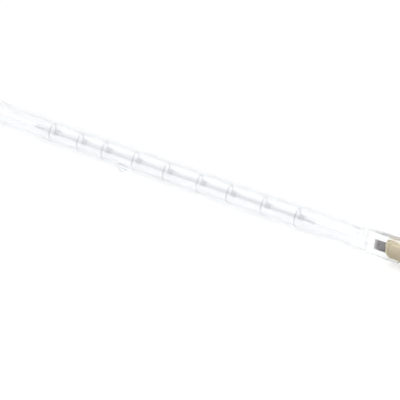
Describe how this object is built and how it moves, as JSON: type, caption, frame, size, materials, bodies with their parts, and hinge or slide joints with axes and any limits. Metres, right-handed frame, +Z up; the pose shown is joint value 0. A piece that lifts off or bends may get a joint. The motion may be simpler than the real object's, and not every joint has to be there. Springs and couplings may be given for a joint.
{
  "type": "quartz lamp",
  "caption": "Clear quartz tube lamp with a long coiled filament on ring supports, pressed ends and slotted ceramic caps with recessed contacts.",
  "frame": {"origin": "on the surface that the lamp lies on, under the middle of the lamp", "axes": "+X along the lamp, towards the end further from the exhaust tip; +Z up"},
  "size_m": [0.2064, 0.01, 0.01],
  "materials": {
    "quartz": "clear fused quartz, fire polished, faintly blue",
    "tungsten": "drawn tungsten wire, bright grey",
    "support_wire": "drawn tungsten wire, grey",
    "foil": "etched molybdenum foil, satin dark grey",
    "lead_wire": "polished molybdenum wire",
    "ceramic": "cream steatite, unglazed, smooth",
    "cement": "cream cement, matt and slightly rough",
    "contact": "nickel-plated steel, worn satin"
  },
  "bodies": {
    "root": {"quartz_envelope": "quartz", "filament_coil": "tungsten", "filament_support_1": "support_wire", "filament_support_2": "support_wire", "filament_support_3": "support_wire", "filament_support_4": "support_wire", "filament_support_5": "support_wire", "filament_support_6": "support_wire", "filament_support_7": "support_wire", "filament_support_8": "support_wire", "filament_support_9": "support_wire", "foil_left": "foil", "foil_right": "foil", "inner_lead_left": "lead_wire", "inner_lead_right": "lead_wire", "outer_lead_left": "lead_wire", "outer_lead_right": "lead_wire", "ceramic_cap_left": "ceramic", "ceramic_cap_right": "ceramic", "cement_left": "cement", "cement_right": "cement", "contact_left": "contact", "contact_right": "contact"}
  },
  "joints": []
}
